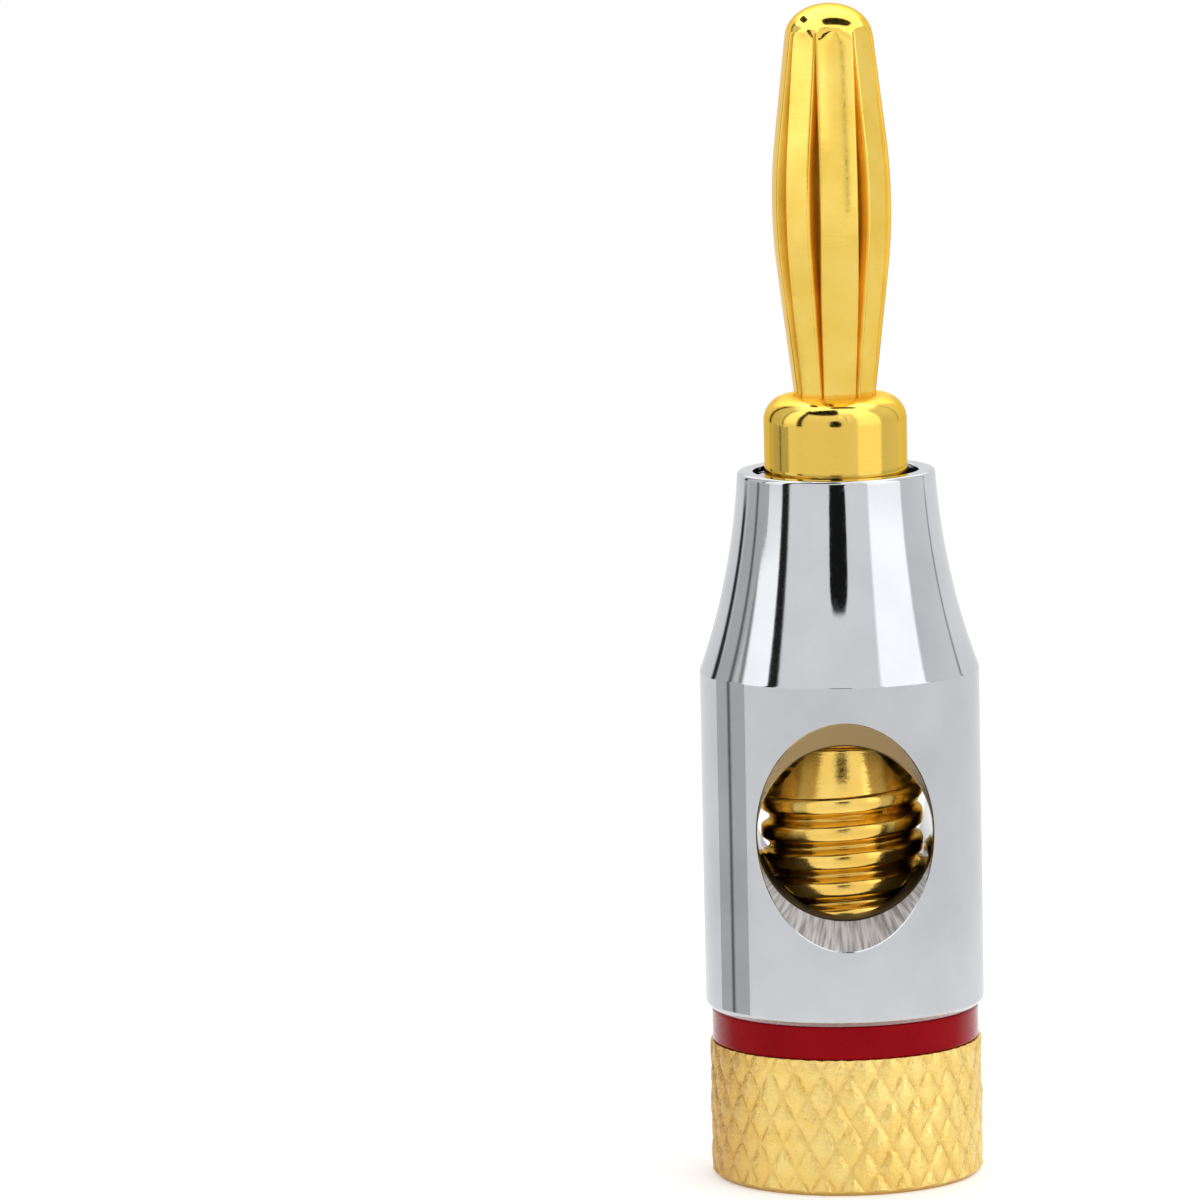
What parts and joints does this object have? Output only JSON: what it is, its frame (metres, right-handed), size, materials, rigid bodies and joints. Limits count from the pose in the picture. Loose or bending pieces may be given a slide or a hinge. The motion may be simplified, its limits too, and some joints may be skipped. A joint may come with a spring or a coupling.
{
  "type": "banana plug",
  "caption": "Open-screw banana plug: leaf-spring pin, flared barrel with a countersunk side wire hole, plastic colour ring, and a knurled hollow clamp screw for the cable.",
  "frame": {"origin": "centre of the rear face of the knurled head, which the plug stands on", "axes": "+Z along the plug's axis towards the nose of the pin, -Y out of the wire hole that faces the viewer"},
  "size_m": [0.01, 0.01, 0.042],
  "materials": {
    "satin_gold": "satin gold plating over a knurl",
    "red_plastic": "smooth, slightly glossy",
    "chrome": "mirror plating",
    "polished_gold": "polished gold plating"
  },
  "bodies": {
    "clamp_screw": {"clamp_screw": "satin_gold"},
    "colour_ring": {"colour_ring": "red_plastic"},
    "barrel": {"barrel": "chrome", "contact_body": "polished_gold", "spring_cage": "polished_gold"}
  },
  "joints": [
    {"name": "barrel_turn", "type": "hinge", "parent": "clamp_screw", "child": "colour_ring", "pos_m": [0, 0, 0.0055], "axis": [0, 0, 1], "range_deg": [0, 2160]},
    {"name": "barrel_lift", "type": "slide", "parent": "colour_ring", "child": "barrel", "axis": [0, 0, 1], "range_m": [0, 0.006]}
  ],
  "couplings": [
    {"joint": "barrel_lift", "follows": "barrel_turn", "m_per_rad": 0.00015915}
  ]
}
